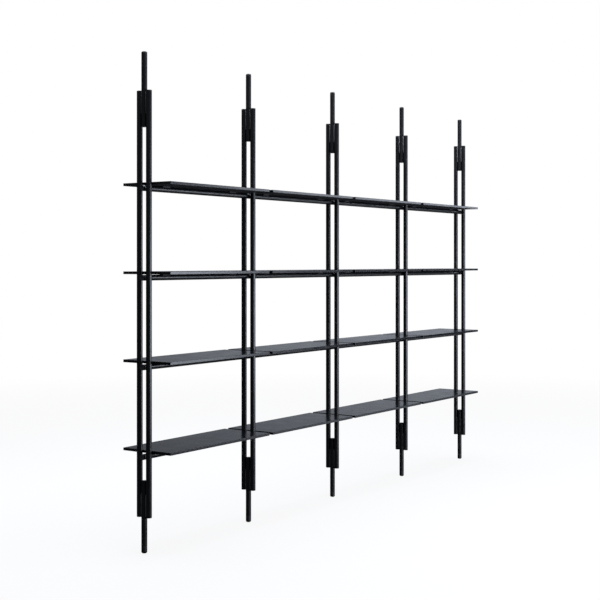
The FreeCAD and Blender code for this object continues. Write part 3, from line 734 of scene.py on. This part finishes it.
class BOOKCASE_OT_feet(PieceOperator, bpy.types.Operator):
    """Build the levelling feet with their threaded studs, the turning collars and the ceiling pads."""

    bl_idname = "bookcase.feet"
    bl_label = "Feet, collars and pads"

    foot_height: length_property("Foot height", "Height of a foot's pad", 28 * MM)
    foot_edge: length_property("Foot edge", "Rounding at the floor", 9 * MM)
    stud: length_property("Stud", "Diameter over the stud's thread", 16 * MM)
    stud_tip: number_property("Stud tip", "Stud's radius at its end as a share of the whole", 0.88)
    thread_depth: length_property("Thread depth", "Depth of the stud's thread", 1.1 * MM)
    pad_height: length_property("Pad height", "Height of a ceiling pad", 10 * MM)
    pad_edge: length_property("Pad edge", "Rounding at the ceiling", 8 * MM)
    collar_height: length_property("Collar height", "Height of a collar's rim", 12 * MM)
    tommy_hole: length_property("Tommy hole", "Diameter of the pin holes in a collar", 4 * MM)
    clearance: length_property("Clearance", "Gap inside and outside a turning collar", 0.3 * MM)
    snug: length_property("Snug", "Gap round a pad's spigot", 0.1 * MM)
    foot_steps, pad_steps, pin_steps = 9, 8, 24
    rings_per_turn, tip_turns = 5, 2

    def screw(self, size, low, high):
        """A threaded stud of radius R - d |2 frac(z / p - a / 2 pi) - 1|.

        The ridge climbs one pitch per turn, and the last turns taper to the tip's share of that radius.
        """
        angle = np.linspace(0, 2 * math.pi, SMALL_STEPS, endpoint=False)
        height = np.arange(low, high, size.thread_pitch / self.rings_per_turn)[:, None]
        phase = (height / size.thread_pitch - angle / (2 * math.pi)) % 1.0
        whole = np.clip((high - height) / (self.tip_turns * size.thread_pitch), 0.0, 1.0)
        taper = whole * (1 - self.stud_tip) + self.stud_tip
        radius = (self.stud / 2 - self.thread_depth * np.abs(2 * phase - 1)) * taper
        return skin(np.stack([radius * np.cos(angle), radius * np.sin(angle), height + 0 * angle], axis=-1))

    def add_foot(self, size, number):
        """A foot with its stud."""
        node = "levelling_foot_{}".format(number)
        x, y, low, high = axis_of(node)
        outer, fine, edge = size.rod_diameter / 2, size.tube_edge, self.foot_edge
        top = low + self.foot_height
        foot = revolve(np.vstack([
            corner(outer - edge, low + edge, edge, -math.pi / 2, self.foot_steps),
            corner(outer - fine, top - fine, fine, 0)]))
        stud = self.screw(size, top - size.thread_pitch, high)
        parts = [moved(part, (x, y, 0)) for part in (foot, stud)]
        new_piece(node + "_moulding", parts, "foot_nylon", "foot_{}".format(number), node)

    def add_collar(self, size, number):
        """A collar with its spigot and two crossed pin holes."""
        node = "levelling_collar_{}".format(number)
        x, y, low, high = axis_of(node)
        outer, fine = size.rod_diameter / 2, size.tube_edge
        rim = low + self.collar_height
        bore = self.stud / 2 + self.clearance
        spigot = outer - size.rod_wall - self.clearance
        profile = np.vstack([
            corner(outer - fine, low + fine, fine, -math.pi / 2), corner(outer - fine, rim - fine, fine, 0),
            [[spigot, rim]], corner(spigot - fine, high - fine, fine, 0), [[bore, high], [bore, low]]])
        ring = revolve(profile, loop=True)
        body = "collar_{}".format(number)
        piece = new_piece(node + "_nut", [moved(ring, (x, y, 0))], "bolt_steel", body, node)
        hole, reach = self.tommy_hole / 2, size.rod_diameter
        pin = revolve([[hole, -reach], [hole, reach]], steps=self.pin_steps)
        for turn in (TO_Y, TO_X):
            bored(piece, [moved(pin, (x, y, low + self.collar_height / 2), turn)])

    def add_pad(self, size, number):
        """A ceiling pad with its spigot."""
        node = "ceiling_pad_{}".format(number)
        x, y, low, high = axis_of(node)
        outer, edge = size.rod_diameter / 2, self.pad_edge
        base = high - self.pad_height
        spigot = outer - size.rod_wall - self.snug
        pad = revolve(np.vstack([
            [[spigot, low], [spigot, base], [outer - size.seam, base], [outer, base + size.seam]],
            corner(outer - edge, high - edge, edge, 0, self.pad_steps)]))
        body = "upper_rod_{}".format(number)
        new_piece(node + "_moulding", [moved(pad, (x, y, 0))], "pad_rubber", body, node)

    def execute(self, context):
        size = sizes()
        for number in UPRIGHTS:
            self.add_foot(size, number)
            self.add_collar(size, number)
            self.add_pad(size, number)
        return {"FINISHED"}


class BOOKCASE_OT_stage(PieceOperator, bpy.types.Operator):
    """Set the plain floor, the soft lights, the white surroundings and the camera."""

    bl_idname = "bookcase.stage"
    bl_label = "Stage"

    floor_reach: length_property("Floor reach", "Half the width of the floor", 14.0)
    floor_drop: length_property("Floor drop", "Floor's depth below the feet", 0.5 * MM)
    floor_white: number_property("Floor white", "Share of plain white that the eye sees near the row", 0.88)
    shadow_reach: vector_property(
        "Shadow reach", "Distances at which the floor starts to turn plain white and is white", (3.0, 9.0),
        unit="LENGTH")
    patch_reach: vector_property(
        "Patch reach", "Distances at which the lit patch starts to fade and has faded", (1.0, 4.0),
        unit="LENGTH")
    light_distance: length_property("Light distance", "Front lights to the row", 5.0)
    front_box: vector_property(
        "Front light", "Left, right, lower and upper edge of the front light", (-1.6, 4.9, 0.3, 1.9),
        unit="LENGTH")
    high_box: vector_property(
        "High light", "Left, right, lower and upper edge of the strip high on the right",
        (4.6, 13.0, 2.15, 2.75), unit="LENGTH")
    top_height: length_property("Top height", "Height of the overhead light", 5.0)
    top_size: length_property("Top size", "Side of the overhead light", 5.0)
    glow_towards: vector_property(
        "Glow", "Direction of the room's lighter side", (0.953, 0.302, 0.0), subtype="DIRECTION")
    glow_focus: number_property("Glow focus", "Exponent that narrows the lighter side", 8.0)
    glow_rise: number_property("Glow rise", "Rise of a ray at which the lighter side has faded", 0.22)
    glow_levels: vector_property(
        "Glow levels", "Brightness of the lighter side at the horizon and where it has faded", (1.1, 0.2))
    room_level: number_property("Room level", "Brightness of the dim room", 0.03)
    wall_rise: number_property("Wall rise", "Rise of a ray at which the far wall is in full light", 0.12)
    wall_level: number_property("Wall level", "Brightness of the far wall", 0.2)
    wall_span: vector_property(
        "Wall span", "Cosines to the lighter side at which the far wall starts and is full", (0.2, -0.6))

    def front_lamp(self, name, power, box):
        """A soft light in the plane in front of the row, between the edges that a box gives."""
        left, right, low, high = box
        place = ((left + right) / 2, -self.light_distance, (low + high) / 2)
        self.lamp(name, power, place, (math.pi / 2, 0, 0), right - left, high - low)

    def lamp(self, name, power, place, turn, width, height):
        """One rectangular soft light."""
        data = bpy.data.lights.new(name, "AREA")
        data.shape = "RECTANGLE"
        data.size, data.size_y = width, height
        data.energy = power
        data.color = bpy.context.scene.bookcase_stage.daylight[:3]
        lamp = bpy.data.objects.new(name, data)
        lamp.location, lamp.rotation_euler = place, turn
        bpy.context.scene.collection.objects.link(lamp)

    def floor_material(self, stage):
        """To the eye white with a share of matt shadow; to every other ray dim, with a painted pool of light
        round the patch.
        """
        material = bpy.data.materials.new("matt white floor")
        tree = empty_tree(material)
        path = add(tree, "ShaderNodeLightPath")
        place = add(tree, "ShaderNodeTexCoord").outputs["Object"]
        away = add(tree, "ShaderNodeVectorMath", {0: place}, operation="LENGTH").outputs["Value"]
        white = ramp(tree, away, self.shadow_reach, (self.floor_white, 1.0))
        glow = add(tree, "ShaderNodeEmission", {"Color": WHITE, "Strength": 1.0})
        matt = add(tree, "ShaderNodeBsdfDiffuse", {"Color": tuple(stage.floor)})
        # A brighter share round the patch paints a pool of light on the floor for every ray but the eye's.
        from_patch = add(tree, "ShaderNodeVectorMath", {0: place, 1: stage.patch}, operation="DISTANCE")
        share = ramp(tree, from_patch.outputs["Value"], self.patch_reach, stage.bounce)
        dim = add(tree, "ShaderNodeBsdfDiffuse", {"Color": share})
        seen = add(tree, "ShaderNodeMixShader", {0: white, 1: matt.outputs[0], 2: glow.outputs[0]})
        both = add(tree, "ShaderNodeMixShader", {
            0: path.outputs["Is Camera Ray"], 1: dim.outputs[0], 2: seen.outputs[0]})
        add(tree, "ShaderNodeOutputMaterial", {"Surface": both.outputs[0]})
        return material

    def floor_piece(self, stage):
        """A flat square under the feet."""
        corners = np.array([[-1, -1], [1, -1], [1, 1], [-1, 1]], float) * self.floor_reach
        points = np.column_stack([corners, np.full(len(corners), -self.floor_drop)])
        mesh = bpy.data.meshes.new("floor")
        mesh.from_pydata(points.tolist(), [], [[0, 1, 2, 3]])
        mesh.materials.append(self.floor_material(stage))
        floor = bpy.data.objects.new("floor", mesh)
        bpy.context.scene.collection.objects.link(floor)

    def surroundings(self, stage):
        """White to the eye; to every other ray a dim room with one lighter side and a far wall."""
        world = bpy.data.worlds.new("plain room")
        bpy.context.scene.world = world
        tree = empty_tree(world)
        path = add(tree, "ShaderNodeLightPath")
        direction = add(tree, "ShaderNodeTexCoord").outputs["Generated"]
        rise = add(tree, "ShaderNodeSeparateXYZ", {0: direction}).outputs["Z"]
        towards = {0: direction, 1: self.glow_towards}
        facing = add(tree, "ShaderNodeVectorMath", towards, operation="DOT_PRODUCT").outputs["Value"]
        spread = reckon(tree, "POWER", reckon(tree, "MAXIMUM", facing, 0.0), self.glow_focus)
        fade = ramp(tree, rise, (0.0, self.glow_rise), self.glow_levels)
        glow = reckon(tree, "ADD", reckon(tree, "MULTIPLY", spread, fade), self.room_level)
        upper = ramp(tree, rise, (0.0, self.wall_rise), (0.0, self.wall_level))
        far = ramp(tree, facing, self.wall_span, (0.0, 1.0))
        level = reckon(tree, "ADD", glow, reckon(tree, "MULTIPLY", upper, far))
        room = add(tree, "ShaderNodeBackground", {"Color": tuple(stage.daylight), "Strength": level})
        white = add(tree, "ShaderNodeBackground", {"Color": WHITE, "Strength": 1.0})
        seen = reckon(tree, "MAXIMUM", path.outputs["Is Camera Ray"], path.outputs["Is Transmission Ray"])
        both = add(tree, "ShaderNodeMixShader", {0: seen, 1: room.outputs[0], 2: white.outputs[0]})
        add(tree, "ShaderNodeOutputWorld", {"Surface": both.outputs[0]})

    def execute(self, context):
        scene = context.scene
        stage = scene.bookcase_stage
        self.floor_piece(stage)
        self.surroundings(stage)
        self.front_lamp("front light", stage.front_power, self.front_box)
        self.front_lamp("high light", stage.high_power, self.high_box)
        overhead = (0, 0, self.top_height)
        self.lamp("top light", stage.top_power, overhead, (0, 0, 0), self.top_size, self.top_size)
        data = bpy.data.cameras.new("camera")
        data.sensor_width = FRAME_WIDTH
        data.lens = stage.lens
        data.shift_y = stage.shift
        data.clip_end = SIGHT
        camera = bpy.data.objects.new("camera", data)
        camera.location = stage.eye
        camera.rotation_euler = (math.pi / 2, 0, stage.heading)
        scene.collection.objects.link(camera)
        scene.camera = camera
        scene.view_settings.view_transform = "Standard"
        return {"FINISHED"}


OPERATORS = (
    BOOKCASE_OT_posts, BOOKCASE_OT_rails, BOOKCASE_OT_rods, BOOKCASE_OT_shelves, BOOKCASE_OT_plugs,
    BOOKCASE_OT_bolts, BOOKCASE_OT_spacers, BOOKCASE_OT_cradles, BOOKCASE_OT_feet, BOOKCASE_OT_stage)


class BOOKCASE_PT_panel(bpy.types.Panel):
    """Lists the bookcase's pieces."""

    bl_idname = "BOOKCASE_PT_panel"
    bl_label = "Pole bookcase"
    bl_space_type = "VIEW_3D"
    bl_region_type = "UI"
    bl_category = "Bookcase"

    def draw(self, context):
        for operator in OPERATORS:
            self.layout.operator(operator.bl_idname)


GROUPS = {
    "bookcase_sizes": BookcaseSizes, "bookcase_finishes": BookcaseFinishes, "bookcase_stage": BookcaseStage}


def register():
    """Registers every class and gives the scene its groups of values."""
    for kind in (*GROUPS.values(), *OPERATORS, BOOKCASE_PT_panel):
        bpy.utils.register_class(kind)
    for name, kind in GROUPS.items():
        setattr(bpy.types.Scene, name, bpy.props.PointerProperty(type=kind))


def unregister():
    """Takes the groups and the classes away again."""
    for name in GROUPS:
        delattr(bpy.types.Scene, name)
    for kind in reversed((*GROUPS.values(), *OPERATORS, BOOKCASE_PT_panel)):
        bpy.utils.unregister_class(kind)


def main():
    """Builds every piece and the stage."""
    register()
    for operator in OPERATORS:
        group, name = operator.bl_idname.split(".")
        getattr(getattr(bpy.ops, group), name)()
    bpy.context.view_layer.update()


if __name__ == "__main__":
    main()
